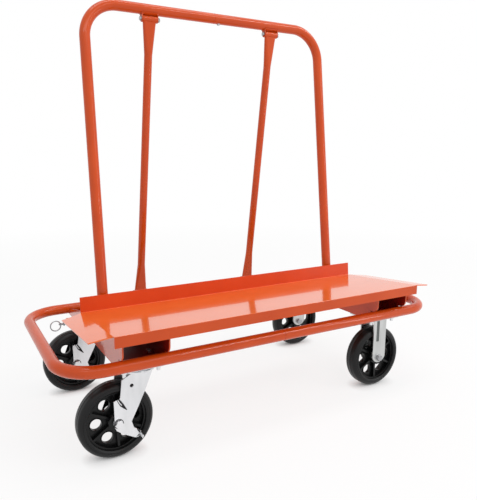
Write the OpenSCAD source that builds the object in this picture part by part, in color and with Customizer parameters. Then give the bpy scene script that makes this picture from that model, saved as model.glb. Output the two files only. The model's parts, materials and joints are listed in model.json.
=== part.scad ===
// Drywall cart: tilted deck on a tube loop, A-frame upright, two swivel and two rigid casters.
// +X runs along the cart to the rigid casters, +Y to the back, +Z up. Origin on the floor.

/* [Base loop] */
// Overall length of the bumper loop
loop_l = 1270; // [1100:5:1500]
// Overall width of the bumper loop
loop_w = 574; // [520:1:640]
// Outside diameter of the frame tube
tube_d = 31.75; // [28:0.25:36]
// Wall of the frame tube
tube_wall = 1.8; // [1.2:0.1:3]
// Centreline bend radius of the frame tube
bend_r = 102; // [80:1:130]

/* [Cross-members] */
// Distance of each cross-member's middle from the loop's end
channel_inset = 218; // [210:1:240]
// Outside width of a cross-member channel
channel_w = 126; // [122:1:140]
// Sheet thickness of the cross-members
channel_wall = 4; // [3:0.5:5]
// Radius of the round lower corner at the channel's front
channel_nose_r = 21; // [16:1:28]
// Distance of the channel's front edge behind the deck's front
channel_setback = 19.5; // [18:0.5:30]

/* [Deck] */
// How far the deck's flat part runs past the middle of each cross-member
deck_past = 86.5; // [75:0.5:95]
// How far the deck's front stands out past the loop
deck_overhang = 18.5; // [10:0.5:24]
// Height of the deck's front edge
deck_front_z = 351; // [346:1:360]
// Depth of the deck from the ledge to its front
deck_depth = 313; // [300:1:320]
// Tilt of the deck down towards the ledge, in degrees
deck_tilt = 5.4; // [4:0.1:6]
// Sheet thickness of the deck
deck_wall = 3; // [2:0.5:4]
// Height of the back ledge above the deck
ledge_h = 44; // [30:1:60]
// Height of the front flange
flange_h = 28.7; // [20:0.1:34]
// Width of each end wing
wing_w = 60; // [40:1:64]
// Angle of the end wings below the deck, in degrees
wing_angle = 6; // [2:0.5:8]
// Depth of the wing's front edge from the ledge
wing_front = 303; // [280:1:310]
// Depth of the wing's back corner from the ledge
wing_back = 28; // [15:1:60]

/* [Upright] */
// Overall height of the cart
cart_h = 1219; // [1100:1:1300]
// Distance of each leg's axis outwards from the middle of its cross-member
leg_offset = 10.5; // [-15:0.5:25]
// Lean of the upright, in degrees
leg_lean = 6.94; // [5:0.1:8]
// Distance of the legs' axes behind the ledge, at the loop's height
leg_setback = 25.8; // [24:0.2:45]
// Length of a leg socket
socket_l = 92; // [70:1:110]
// Wall of a leg socket
socket_wall = 2.5; // [2:0.1:4]
// Length of the sleeve inside the top bar's joint
sleeve_l = 120; // [80:1:160]
// Place of the sleeve's screw along the top bar
sleeve_screw_x = 19; // [14:1:30]

/* [Struts] */
// Distance of each strut from the nearer leg of the upright
strut_inset = 204; // [160:1:240]
// Outside diameter of a strut
strut_d = 25.4; // [20:0.1:28]
// Wall of a strut
strut_wall = 1.6; // [1.2:0.1:2.5]
// Length of a strut's flattened ends
strut_flare_l = 104; // [70:1:140]
// Width of a strut's flattened ends
strut_flare_w = 43; // [36:1:44]
// Thickness of a strut's flattened ends
strut_flare_t = 13; // [10:0.5:16]
// Length of the barrels at a strut's ends
barrel_l = 47; // [45:1:60]
// Diameter of the upper barrels
barrel_d = 20; // [18:0.5:24]
// Diameter of the lower barrels
foot_barrel_d = 16; // [15:0.5:18]
// Sheet thickness of the strut brackets
bracket_wall = 2.5; // [2:0.1:3]
// Diameter of the strut and socket bolts
frame_bolt_d = 8; // [6:0.5:10]

/* [Casters] */
// Height of the cross-member's underside above the floor
caster_h = 243; // [242:0.5:260]
// Distance of the casters inside the loop's side tubes, axis to axis
caster_inset = 59; // [58:0.5:75]
// Caster plate along the cart
plate_l = 114; // [112:1:118]
// Caster plate across the cart
plate_w = 102; // [92:1:104]
// Thickness of the caster plates
plate_t = 6; // [5:0.5:7]
// Spacing of the plate bolts along the cart
bolt_sx = 92; // [90:0.5:93]
// Spacing of the plate bolts across the cart
bolt_sy = 67; // [66:0.5:68]
// Diameter of the plate bolts
caster_bolt_d = 9.5; // [8:0.5:10]
// How far a swivel caster's wheel trails its pivot
trail = 63; // [50:1:66]
// Sheet thickness of the forks
fork_wall = 4; // [3:0.5:5]
// Width of a rigid fork's legs
rigid_leg_w = 54; // [50:1:60]
// Diameter of the kingpins
kingpin_d = 16; // [12:0.5:18]
// Radius of the notched lock ring on a swivel fork
lock_ring_r = 46; // [45:0.5:46]
// Width of the notches in the lock ring
notch_w = 9; // [8.8:0.1:12]
// Depth of the notches in the lock ring
notch_depth = 6; // [4:0.5:7]

/* [Wheels] */
// Wheel diameter
wheel_d = 200; // [196:1:200]
// Width of the tyre
tyre_w = 48; // [40:1:50]
// Radius of the tyre's shoulders
tyre_shoulder = 16; // [8:0.5:18]
// Outside diameter of the wheel core's rim
rim_d = 156; // [150:1:160]
// Length of the wheel hub
hub_l = 52; // [51:1:58]
// Diameter of the wheel hub
hub_d = 48; // [40:1:54]
// Diameter of the holes through the wheel core
core_hole_d = 30; // [20:1:32]
// Radius of the ring of holes
core_hole_ring = 51; // [48:0.5:52]
// Number of holes in the wheel core
core_holes = 6; // [5:1:6]
// Diameter of the axle bolts
axle_d = 12.7; // [10:0.1:16]

/* [Brakes and locks] */
// Thickness of a brake pedal's plate
pedal_t = 3; // [2:0.5:4]
// Width of a brake pedal's foot lip
pedal_lip = 20; // [12:1:26]
// Diameter of a lock plunger
plunger_d = 8; // [6:0.2:8.4]
// Diameter of a lock barrel
lock_barrel_d = 18; // [14:0.5:20]
// Length of a lock barrel
lock_barrel_l = 24; // [16:1:26]
// Radius of a pull ring, to the middle of its wire
pull_ring_r = 16; // [12:0.5:17]
// Wire diameter of a pull ring
pull_wire_d = 3.6; // [2.5:0.1:4]

/* [Fits] */
// Radial clearance of shafts and seated tubes
fit = 0.05; // [0.03:0.01:0.1]
// Gap between faces that turn past each other
side_gap = 0.3; // [0.2:0.05:0.5]
// Gap left where a coped sheet meets a tube
weld_gap = 0.1; // [0.05:0.05:0.3]

/* [Hidden] */
$fn = 64;
e = 0.01;
hull_fn = 32;
orange = [0.80, 0.22, 0.10];
zinc = [0.80, 0.81, 0.83];
black = [0.06, 0.06, 0.065];
tube_r = tube_d / 2;
loop_y = deck_overhang / 2;
loop_z = caster_h + tube_r + side_gap;
loop_side_y = (loop_w - tube_d) / 2;
loop_end_x = (loop_l - tube_d) / 2;
caster_y = loop_side_y - caster_inset;
channel_x = loop_l / 2 - channel_inset;
deck_l = 2 * (channel_x + deck_past);
web_top = caster_h + channel_wall;
deck_front_y = loop_y - loop_w / 2 - deck_overhang;
deck_back_y = deck_front_y + deck_depth * cos(deck_tilt);
deck_back_z = deck_front_z - deck_depth * sin(deck_tilt);
nose_y = deck_front_y + channel_setback;
foot_z = web_top;
foot_y = deck_back_y + leg_setback + (foot_z - loop_z) * tan(leg_lean);
bar_rise = (cart_h - tube_r - foot_z) / cos(leg_lean);
leg_x = channel_x + leg_offset;
strut_x = leg_x - strut_inset;
leg_lift = tube_r * tan(leg_lean) + side_gap;
socket_r = tube_r + fit;
socket_bolt_w = socket_l * 0.65;
ear_r = barrel_d / 2;
saddle_r = tube_r + fit;
pivot_off = saddle_r + bracket_wall + ear_r + side_gap * 2;
bar_y = foot_y + bar_rise * sin(leg_lean);
bar_z = foot_z + bar_rise * cos(leg_lean);
top_y = bar_y - pivot_off * sin(leg_lean);
top_z = bar_z - pivot_off * cos(leg_lean);
tail_y = loop_y + loop_side_y;
strut_tilt = atan2(tail_y - top_y, top_z - loop_z);
foot_off = tube_r + foot_barrel_d / 2 + side_gap * 2;
low_y = tail_y + foot_off * sin(strut_tilt);
low_z = loop_z + foot_off * cos(strut_tilt);
strut_angle = atan2(low_y - top_y, top_z - low_z);
strut_len = norm([low_y - top_y, top_z - low_z]);
ear_x = barrel_l / 2 + side_gap;
vent_d = 6;
screw_d = 5;
bolt_head = 0.65;
bolt_nut = 0.8;
hex_ratio = 0.87;
wheel_r = wheel_d / 2;
plate_z = caster_h - plate_t;
race_t = 4;
crown_t = 5;
boss_r = 37;
ring_top = plate_z - 7;
crown_top = ring_top - race_t;
crown_low = crown_top - crown_t;
fork_in = hub_l / 2 + 0.5;
fork_out = fork_in + fork_wall;
pedal_y = fork_out + side_gap;
axle_head_y = pedal_y + pedal_t + side_gap;
axle_r = axle_d / 2;
bush_r = axle_r + 6;
plunger_z = ring_top - race_t / 2;
lock_x0 = lock_ring_r + 14;
lock_x1 = lock_x0 + lock_barrel_l;
plunger_in = lock_ring_r + 1;
eye_x = lock_x1 + 19;
eye_r = pull_wire_d / 2 + 1.2;
ring_droop_front = -18;
ring_droop_back = 12;
core_turn_left = -26;
core_turn_right = -29;
leg_hole_d = 10;
sides = [-1, 1];

// Solid rods and shapes that repeat

// Rod along X, centred
module rod_x(d, l) {
  rotate([0, 90, 0]) cylinder(d = d, h = l, center = true);
}

// Rod along Y, centred
module rod_y(d, l) {
  rotate([90, 0, 0]) cylinder(d = d, h = l, center = true);
}

// Hexagonal bolt head or nut along Z, standing on z = 0
module hex(d, h) {
  cylinder(d = d / hex_ratio * 1.5, h = h, $fn = 6);
}

// Section of the frame tube
module tube_section() {
  difference() {
    circle(d = tube_d);
    circle(d = tube_d - 2 * tube_wall);
  }
}

// Straight length of frame tube along Z
module tube(l) {
  linear_extrude(l) tube_section();
}

// Quarter bend of frame tube round Z
module tube_bend() {
  rotate_extrude(angle = 90) translate([bend_r, 0]) tube_section();
}

// Half of the bumper loop on the -X side
module loop_half() {
  straight_x = loop_end_x - bend_r;
  straight_y = loop_side_y - bend_r;
  color(orange) translate([0, loop_y, loop_z]) {
    for (s = sides) {
      translate([-straight_x, s * loop_side_y, 0]) rotate([0, 90, 0]) tube(straight_x);
      translate([-straight_x, s * straight_y, 0]) rotate([0, 0, s > 0 ? 90 : 180]) tube_bend();
    }
    translate([-loop_end_x, straight_y, 0]) rotate([90, 0, 0]) tube(2 * straight_y);
  }
}

// The loop's front and back tubes as plain rods, to cope sheets against
module loop_cut() {
  for (s = sides)
    translate([0, loop_y + s * loop_side_y, loop_z]) rod_x(tube_d + 2 * weld_gap, 2 * loop_l);
}

// Height of the deck's underside at a place across the cart
function deck_under(y) = deck_back_z - (y - deck_back_y) * tan(deck_tilt) - deck_wall / cos(deck_tilt);

// One channel side, drawn across the cart and upwards
module channel_side() {
  front_y = loop_y - loop_side_y;
  back_y = loop_y + loop_side_y;
  nose_low = loop_z + tube_r;
  rotate([90, 0, 90]) linear_extrude(channel_wall) union() {
    polygon([[nose_y, deck_under(nose_y)], [nose_y, nose_low + channel_nose_r],
      [nose_y + channel_nose_r, nose_low], [front_y + tube_r, nose_low], [front_y, loop_z],
      [front_y, caster_h], [back_y, caster_h], [back_y, loop_z], [deck_back_y, deck_under(deck_back_y)]]);
    translate([nose_y + channel_nose_r, nose_low + channel_nose_r]) circle(r = channel_nose_r);
  }
}

module cross_member() {
  color(orange) difference() {
    union() {
      translate([-channel_x - channel_w / 2, 0, 0]) channel_side();
      translate([-channel_x + channel_w / 2 - channel_wall, 0, 0]) channel_side();
      translate([-channel_x - channel_w / 2, loop_y - loop_side_y, caster_h])
        cube([channel_w, 2 * loop_side_y, channel_wall]);
    }
    loop_cut();
    for (s = sides)
      translate([-channel_x, loop_y + s * caster_y, caster_h]) plate_holes(channel_wall);
  }
}

// Four bolt holes of a caster plate, through a sheet that stands on z = 0
module plate_holes(t) {
  for (i = sides, j = sides)
    translate([i * bolt_sx / 2, j * bolt_sy / 2, -1]) cylinder(d = caster_bolt_d + 4 * fit, h = t + 2);
}

// Place across the cart and upwards of a point given in the tilted deck's own axes
function on_deck(y, z) = [deck_back_y + y * cos(deck_tilt) + z * sin(deck_tilt),
  deck_back_z - y * sin(deck_tilt) + z * cos(deck_tilt)];

// Deck sheet with its ledge, front flange and end wings
module deck() {
  flange_back = deck_front_y + deck_wall;
  flange_low = deck_front_z - flange_h;
  color(orange) {
    translate([-deck_l / 2, 0, 0]) rotate([90, 0, 90]) linear_extrude(deck_l) polygon([
      [deck_front_y, deck_front_z], [deck_front_y, flange_low], [flange_back, flange_low],
      [flange_back, deck_under(flange_back)], on_deck(deck_wall, -deck_wall),
      on_deck(deck_wall, ledge_h), on_deck(0, ledge_h), on_deck(0, 0)]);
    translate([0, deck_back_y, deck_back_z]) rotate([-deck_tilt, 0, 0]) {
      wing();
      mirror([1, 0, 0]) wing();
    }
  }
}

// One end wing in the tilted deck's own axes
module wing() {
  drop = sin(wing_angle);
  reach = cos(wing_angle);
  translate([deck_l / 2, 0, 0]) intersection() {
    rotate([90, 0, 0]) linear_extrude(wing_front) polygon([[0, 0], [wing_w * reach, -wing_w * drop],
      [wing_w * reach - deck_wall * drop, -wing_w * drop - deck_wall * reach], [0, -deck_wall]]);
    translate([0, 0, -wing_w]) linear_extrude(2 * wing_w) polygon([[-1, -1], [wing_w * 0.6, 8 - wing_back],
      [wing_w, -wing_back], [wing_w, -wing_front - 1], [-1, -wing_front - 1]]);
  }
}

// Frame of the leaning upright, with its origin on a leg's foot line
module lean_frame() {
  translate([0, foot_y, foot_z]) rotate([-leg_lean, 0, 0]) children();
}

// A hole along X through a leg and its socket
module socket_bolt_hole() {
  translate([-leg_x, 0, socket_bolt_w]) rod_x(frame_bolt_d + 4 * fit, 3 * tube_d);
}

// A hole up into the top bar for the sleeve's screw
module sleeve_screw_hole() {
  translate([sleeve_screw_x, 0, bar_rise - tube_d]) cylinder(d = screw_d + 4 * fit, h = tube_d);
}

// Left half of the upright: a leg, its bend and half of the top bar
module upright_half(with_screw) {
  color(orange) lean_frame() difference() {
    union() {
      translate([-leg_x, 0, leg_lift]) tube(bar_rise - bend_r - leg_lift);
      translate([-leg_x + bend_r, 0, bar_rise - bend_r]) rotate([90, 0, 0]) rotate([0, 0, 90]) tube_bend();
      translate([-leg_x + bend_r, 0, bar_rise]) rotate([0, 90, 0]) tube(leg_x - bend_r);
    }
    socket_bolt_hole();
    if (with_screw) mirror([1, 0, 0]) sleeve_screw_hole();
  }
}

module upright_sleeve() {
  sleeve_d = tube_d - 2 * tube_wall - 2 * fit;
  color(zinc) lean_frame() difference() {
    translate([0, 0, bar_rise]) rod_x(sleeve_d, sleeve_l);
    translate([0, 0, bar_rise]) rod_x(sleeve_d - 2 * tube_wall, sleeve_l + 2);
    sleeve_screw_hole();
  }
}

module sleeve_screw() {
  head_h = 3;
  color(zinc) lean_frame() translate([sleeve_screw_x, 0, bar_rise - tube_r]) {
    translate([0, 0, -head_h]) cylinder(d = 2 * screw_d, h = head_h);
    translate([0, 0, -e]) cylinder(d = screw_d, h = 2.5 * tube_wall);
  }
}

module leg_socket() {
  color(orange) difference() {
    lean_frame() difference() {
      translate([-leg_x, 0, -socket_wall * 2]) cylinder(r = socket_r + socket_wall, h = socket_l);
      translate([-leg_x, 0, -socket_wall * 2 - 1]) cylinder(r = socket_r, h = socket_l + 2);
      socket_bolt_hole();
    }
    translate([-leg_x - tube_d, foot_y - 2 * tube_d, web_top - 2 * tube_d])
      cube([2 * tube_d, 4 * tube_d, 2 * tube_d]);
  }
}

module socket_bolts() {
  half = socket_r + socket_wall;
  color(zinc) lean_frame() for (s = sides)
    translate([s * leg_x, 0, socket_bolt_w]) mirror([s > 0 ? 1 : 0, 0, 0])
      bolt_x(half, frame_bolt_d, true);
}

// Bolt along X through a stack of the given half width, head at -X, with or without its nut
module bolt_x(half, d, nut) {
  end = half + d;
  translate([-half, 0, 0]) rotate([0, 90, 0]) cylinder(d = d, h = half + end);
  translate([-half - bolt_head * d, 0, 0]) rotate([0, 90, 0]) hex(d, bolt_head * d);
  if (nut) nut_x(half, d);
}

module nut_x(half, d) {
  translate([half, 0, 0]) rotate([0, 90, 0]) difference() {
    hex(d, bolt_nut * d);
    translate([0, 0, -1]) cylinder(d = d + 2 * fit, h = 2 * d);
  }
}

// Saddle with two ears for a strut's upper end; the tube is at the origin and the pivot below it
module saddle() {
  saddle_l = barrel_l + 2 * (side_gap + bracket_wall);
  difference() {
    union() {
      rod_x(2 * (saddle_r + bracket_wall), saddle_l);
      for (s = sides) translate([s * (ear_x + bracket_wall / 2), 0, 0]) {
        translate([0, 0, -pivot_off]) rod_x(2 * ear_r, bracket_wall);
        translate([-bracket_wall / 2, -ear_r, -pivot_off]) cube([bracket_wall, 2 * ear_r, pivot_off]);
      }
    }
    rod_x(2 * saddle_r, saddle_l + 2);
    translate([-saddle_l, -2 * tube_d, -saddle_r * 0.75]) cube([2 * saddle_l, 4 * tube_d, 2 * tube_d]);
    translate([0, 0, -pivot_off]) rod_x(frame_bolt_d + 4 * fit, saddle_l + 2);
  }
}

module top_bracket() {
  color(orange) translate([-strut_x, bar_y, bar_z]) rotate([-leg_lean, 0, 0]) saddle();
}

// Two ears that stand on the loop's back tube, coped against it
module foot_bracket() {
  span = 2 * barrel_l;
  color(orange) translate([-strut_x, tail_y, loop_z]) rotate([-strut_tilt, 0, 0]) difference() {
    for (s = sides) translate([s * (ear_x + bracket_wall / 2), 0, 0]) {
      translate([0, 0, foot_off]) rod_x(foot_barrel_d, bracket_wall);
      translate([-bracket_wall / 2, -foot_barrel_d / 2, 0]) cube([bracket_wall, foot_barrel_d, foot_off]);
    }
    rod_x(tube_d + 2 * weld_gap, span);
    translate([0, 0, foot_off]) rod_x(frame_bolt_d + 4 * fit, span);
  }
}

// Frame of a strut, from its lower pivot up along its axis
module strut_frame() {
  translate([-strut_x, low_y, low_z]) rotate([strut_angle, 0, 0]) children();
}

// Flattened end that spreads from the tube to a barrel of diameter d
module strut_flare(d) {
  hull($fn = hull_fn) {
    translate([0, 0, strut_flare_l]) cylinder(d = strut_d, h = 0.2, center = true, $fn = hull_fn);
    for (s = sides) translate([s * (strut_flare_w - strut_flare_t) / 2, 0, d * 0.3])
      cylinder(d = strut_flare_t, h = 0.2, $fn = hull_fn);
  }
}

module strut() {
  color(orange) strut_frame() difference() {
    union() {
      translate([0, 0, strut_flare_l]) cylinder(d = strut_d, h = strut_len - 2 * strut_flare_l);
      strut_flare(foot_barrel_d);
      translate([0, 0, strut_len]) mirror([0, 0, 1]) strut_flare(barrel_d);
      rod_x(foot_barrel_d, barrel_l);
      translate([0, 0, strut_len]) rod_x(barrel_d, barrel_l);
    }
    translate([0, 0, strut_flare_l + 1])
      cylinder(d = strut_d - 2 * strut_wall, h = strut_len - 2 * strut_flare_l - 2);
    translate([0, 0, strut_flare_l + 2 * strut_d]) rotate([-90, 0, 0]) cylinder(d = vent_d, h = strut_d);
    rod_x(frame_bolt_d + 2 * fit, barrel_l + 2);
    translate([0, 0, strut_len]) rod_x(frame_bolt_d + 2 * fit, barrel_l + 2);
  }
}

// Places of the four strut pivots
module at_strut_pivots() {
  for (s = sides) {
    translate([s * strut_x, low_y, low_z]) children();
    translate([s * strut_x, top_y, top_z]) children();
  }
}

module strut_bolts() {
  color(zinc) at_strut_pivots() bolt_x(ear_x + bracket_wall, frame_bolt_d, false);
}

module strut_nuts() {
  color(zinc) at_strut_pivots() nut_x(ear_x + bracket_wall, frame_bolt_d);
}

// Casters

// Places of the four casters' plate bolts
module at_plate_bolts() {
  for (sx = sides, sy = sides, i = sides, j = sides)
    translate([sx * channel_x + i * bolt_sx / 2, loop_y + sy * caster_y + j * bolt_sy / 2, 0]) children();
}

module caster_bolts() {
  d = caster_bolt_d;
  tail = 1.6 * d;
  color(zinc) at_plate_bolts() {
    translate([0, 0, plate_z - tail]) cylinder(d = d, h = web_top - plate_z + tail);
    translate([0, 0, web_top]) hex(d, bolt_head * d);
  }
}

module caster_nuts() {
  d = caster_bolt_d;
  color(zinc) at_plate_bolts() translate([0, 0, plate_z - bolt_nut * d]) difference() {
    hex(d, bolt_nut * d);
    translate([0, 0, -1]) cylinder(d = d + 2 * fit, h = 2 * d);
  }
}

// A caster's own frame: s is -1 for the front one and 1 for the back one
module caster(side_x, s) {
  translate([side_x * channel_x, loop_y + s * caster_y, 0]) children();
}

// Flat plate of a caster, with its four holes
module plate() {
  difference() {
    translate([-plate_l / 2, -plate_w / 2, plate_z]) cube([plate_l, plate_w, plate_t]);
    translate([0, 0, plate_z]) plate_holes(plate_t);
  }
}

module swivel_plate(s) {
  color(zinc) caster(-1, s) difference() {
    union() {
      plate();
      translate([-lock_x1, -lock_barrel_d / 2, plate_z])
        cube([lock_x1 - plate_l / 2 + 1, lock_barrel_d, plate_t]);
      translate([0, 0, ring_top + side_gap]) cylinder(r = boss_r, h = plate_z - ring_top - side_gap + e);
    }
    translate([0, 0, ring_top - 1]) cylinder(d = kingpin_d + 2 * fit, h = caster_h);
  }
}

module kingpin(s) {
  head_h = 8;
  color(zinc) caster(-1, s) {
    low = crown_low - side_gap - head_h;
    translate([0, 0, low]) cylinder(d = kingpin_d, h = caster_h - low);
    translate([0, 0, low]) hex(kingpin_d, head_h);
  }
}

// Outline of a swivel fork's leg, seen from the front
module swivel_leg_outline() {
  difference() {
    union() {
      polygon([[29, crown_top], [29, crown_top - 6], [11, wheel_r + 76], [-9.5, wheel_r + 33],
        [35 - trail, wheel_r - 3], [16 - trail, wheel_r - 16], [7 - trail, wheel_r - 19],
        [-10 - trail, wheel_r - 2], [-10 - trail, wheel_r + 45], [-57, wheel_r + 66],
        [-52, wheel_r + 111], [-24, crown_top]]);
      translate([7 - trail, wheel_r - 2]) circle(r = 17);
    }
    translate([-trail, wheel_r]) circle(r = axle_r + fit);
    translate([-26, wheel_r + 93]) circle(d = leg_hole_d);
  }
}

module swivel_fork(s) {
  color(zinc) caster(-1, s) difference() {
    union() {
      for (j = sides) translate([0, j * (fork_in + fork_wall / 2) + fork_wall / 2, 0])
        rotate([90, 0, 0]) linear_extrude(fork_wall) swivel_leg_outline();
      translate([-24, -fork_in - 1, crown_low]) cube([53, 2 * fork_in + 2, crown_t]);
      translate([0, 0, crown_low]) cylinder(r = 34, h = crown_t);
      translate([0, 0, crown_top - e]) cylinder(r = lock_ring_r, h = race_t + e);
    }
    translate([0, 0, crown_low - 1]) cylinder(d = kingpin_d + 2 * fit, h = 2 * crown_t + race_t);
    for (a = [0 : 90 : 270]) rotate([0, 0, a])
      translate([lock_ring_r - notch_depth, -notch_w / 2, crown_top - 1])
        cube([2 * notch_depth, notch_w, race_t + 2]);
  }
}

// Vertical leg of a rigid fork, seen from the front
module rigid_leg_outline() {
  low = wheel_r - 16;
  round_r = rigid_leg_w / 2 + 2;
  difference() {
    intersection() {
      translate([-rigid_leg_w / 2, low]) square([rigid_leg_w, plate_z - low + e]);
      union() {
        translate([0, low + round_r]) circle(r = round_r);
        translate([-rigid_leg_w / 2, low + round_r]) square([rigid_leg_w, plate_z]);
      }
    }
    translate([0, wheel_r]) circle(r = axle_r + fit);
  }
}

module rigid_fork(s) {
  groove_w = 12;
  groove_x = -9;
  groove_depth = fork_wall * 0.75;
  groove_low = wheel_r + 57;
  color(zinc) caster(1, s) difference() {
    union() {
      plate();
      for (j = sides) translate([0, j * (fork_in + fork_wall / 2) + fork_wall / 2, 0])
        rotate([90, 0, 0]) linear_extrude(fork_wall) rigid_leg_outline();
    }
    for (j = sides) translate([groove_x - groove_w / 2, j * fork_out - groove_depth, groove_low])
      cube([groove_w, 2 * groove_depth, plate_z - groove_low - fork_wall]);
  }
}

// Axle bolt along Y with its head on the -Y side; head_y is the head's seat
module axle_bolt(head_y) {
  end_y = fork_out + axle_d;
  rotate([90, 0, 0]) {
    translate([0, 0, -end_y]) cylinder(d = axle_d, h = end_y + head_y);
    translate([0, 0, head_y]) hex(axle_d, bolt_head * axle_d);
  }
}

module axle_nut() {
  translate([0, fork_out + bolt_nut * axle_d, 0]) rotate([90, 0, 0]) difference() {
    hex(axle_d, bolt_nut * axle_d);
    translate([0, 0, -1]) cylinder(d = axle_d + 2 * fit, h = 2 * axle_d);
  }
}

module swivel_axle(s) {
  color(zinc) caster(-1, s) translate([-trail, 0, wheel_r]) axle_bolt(axle_head_y);
}

module swivel_axle_nut(s) {
  color(zinc) caster(-1, s) translate([-trail, 0, wheel_r]) axle_nut();
}

module rigid_axles() {
  color(zinc) for (s = sides) caster(1, s) translate([0, 0, wheel_r]) axle_bolt(fork_out);
}

module rigid_axle_nuts() {
  color(zinc) for (s = sides) caster(1, s) translate([0, 0, wheel_r]) axle_nut();
}

// Brake pedal plate on the axle, outside the fork's front leg
module brake_pedal(s) {
  lip_a = [59, -35];
  lip_b = [56.5, -44];
  lip_len = norm(lip_b - lip_a);
  lip_turn = atan2(lip_b[1] - lip_a[1], lip_b[0] - lip_a[0]);
  lip_inset = 0.4;
  color(zinc) caster(-1, s) translate([-trail, -pedal_y, wheel_r]) difference() {
    union() {
      rotate([90, 0, 0]) linear_extrude(pedal_t)
        polygon([[-11.5, 61], [-4.5, 64], [4.5, 46], [10.5, 40.5], [21, 32], [34, -2], [39.5, -20],
          [45, -23], lip_a, lip_b, [50, -48.5], [43, -48.5], [9.5, -30], [-6, -18], [-10.5, -8]]);
      translate([lip_a[0], 0, lip_a[1]]) rotate([0, -lip_turn, 0])
        translate([lip_inset, -pedal_lip - pedal_t, -pedal_t - lip_inset])
          cube([lip_len - 2 * lip_inset, pedal_lip + pedal_t / 2, pedal_t]);
    }
    rod_y(axle_d + 2 * fit, 4 * pedal_t);
  }
}

// Swivel lock

module lock_barrel(s) {
  color(zinc) caster(-1, s) difference() {
    union() {
      translate([-(lock_x0 + lock_x1) / 2, 0, plunger_z]) rod_x(lock_barrel_d, lock_barrel_l);
      translate([-lock_x1, -lock_barrel_d / 2, plunger_z])
        cube([lock_barrel_l, lock_barrel_d, plate_z - plunger_z]);
    }
    translate([-(lock_x0 + lock_x1) / 2, 0, plunger_z]) rod_x(plunger_d + 2 * fit, lock_barrel_l + 2);
  }
}

module lock_plunger(s) {
  collar_d = plunger_d + 5;
  collar_x = lock_x1 + notch_depth + 1;
  tab_t = 4;
  color(zinc) caster(-1, s) translate([0, 0, plunger_z]) difference() {
    union() {
      translate([-(plunger_in + collar_x) / 2, 0, 0]) rod_x(plunger_d, collar_x - plunger_in);
      translate([-collar_x - 1.5, 0, 0]) rod_x(collar_d, 3);
      translate([-eye_x, -plunger_d / 2, -tab_t / 2]) cube([eye_x - collar_x, plunger_d, tab_t]);
      translate([-eye_x, 0, -tab_t / 2]) cylinder(d = 2 * eye_r + 5, h = tab_t);
    }
    translate([-eye_x, 0, -tab_t]) cylinder(r = eye_r, h = 2 * tab_t);
  }
}

module lock_ring(s) {
  droop = s < 0 ? ring_droop_front : ring_droop_back;
  color(zinc) caster(-1, s) translate([-eye_x, 0, plunger_z]) rotate([0, -droop, 0])
    translate([-pull_ring_r, 0, 0]) rotate([90, 0, 0])
      rotate_extrude() translate([pull_ring_r, 0]) circle(d = pull_wire_d);
}

// Wheels

// A wheel's frame, with its axle along the local Z
module wheel_frame(side_x, s) {
  caster(side_x, s) translate([side_x < 0 ? -trail : 0, 0, wheel_r]) rotate([90, 0, 0]) children();
}

module wheel_core(side_x, s) {
  web_t = 8;
  turn = side_x < 0 ? core_turn_left : core_turn_right;
  rim_w = tyre_w - 16;
  rim_wall = 5;
  rib_t = 6;
  rib_w = rim_w - 4;
  color(black) wheel_frame(side_x, s) rotate([0, 0, turn]) difference() {
    union() {
      cylinder(d = hub_d, h = hub_l, center = true);
      cylinder(d = rim_d - rim_wall, h = web_t, center = true);
      difference() {
        cylinder(d = rim_d, h = rim_w, center = true);
        cylinder(d = rim_d - 2 * rim_wall, h = rim_w + 2, center = true);
      }
      for (a = [0 : 360 / core_holes : 359]) rotate([0, 0, a])
        translate([hub_d / 2 - 2, -rib_t / 2, -rib_w / 2]) cube([(rim_d - hub_d) / 2 - 2, rib_t, rib_w]);
    }
    cylinder(r = bush_r + fit, h = hub_l + 2, center = true);
    for (a = [0 : 360 / core_holes : 359]) rotate([0, 0, a + 180 / core_holes])
      translate([core_hole_ring, 0, 0]) cylinder(d = core_hole_d, h = rim_w, center = true);
  }
}

module tyre(side_x, s) {
  inner = rim_d / 2 + fit;
  flat = tyre_w - 2 * tyre_shoulder;
  color(black) wheel_frame(side_x, s) rotate_extrude() intersection() {
    translate([inner, -tyre_w / 2]) square([wheel_r - inner, tyre_w]);
    union() {
      translate([0, -tyre_w / 2]) square([wheel_r - tyre_shoulder, tyre_w]);
      translate([0, -flat / 2]) square([wheel_r, flat]);
      for (j = sides) translate([wheel_r - tyre_shoulder, j * flat / 2]) circle(r = tyre_shoulder);
    }
  }
}

module hub_bush(side_x, s) {
  color(zinc) wheel_frame(side_x, s) difference() {
    cylinder(r = bush_r, h = hub_l, center = true);
    cylinder(r = axle_r + fit, h = hub_l + 2, center = true);
  }
}

// Mirror image across the middle of the cart
module right() {
  mirror([1, 0, 0]) children();
}

loop_half();  // loop_left
right() loop_half();  // loop_right
cross_member();  // cross_member_left
right() cross_member();  // cross_member_right
deck();
leg_socket();  // leg_socket_left
right() leg_socket();  // leg_socket_right
socket_bolts();
upright_half(false);  // upright_left
right() upright_half(true);  // upright_right
upright_sleeve();
sleeve_screw();
strut();  // strut_left
right() strut();  // strut_right
top_bracket();  // top_bracket_left
right() top_bracket();  // top_bracket_right
foot_bracket();  // foot_bracket_left
right() foot_bracket();  // foot_bracket_right
strut_bolts();
strut_nuts();
caster_bolts();
caster_nuts();
swivel_plate(-1);  // swivel_plate_front
swivel_plate(1);  // swivel_plate_back
kingpin(-1);  // kingpin_front
kingpin(1);  // kingpin_back
lock_barrel(-1);  // lock_barrel_front
lock_barrel(1);  // lock_barrel_back
lock_plunger(-1);  // lock_plunger_front
lock_plunger(1);  // lock_plunger_back
lock_ring(-1);  // lock_ring_front
lock_ring(1);  // lock_ring_back
swivel_fork(-1);  // swivel_fork_front
swivel_fork(1);  // swivel_fork_back
swivel_axle(-1);  // swivel_axle_front
swivel_axle(1);  // swivel_axle_back
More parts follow.
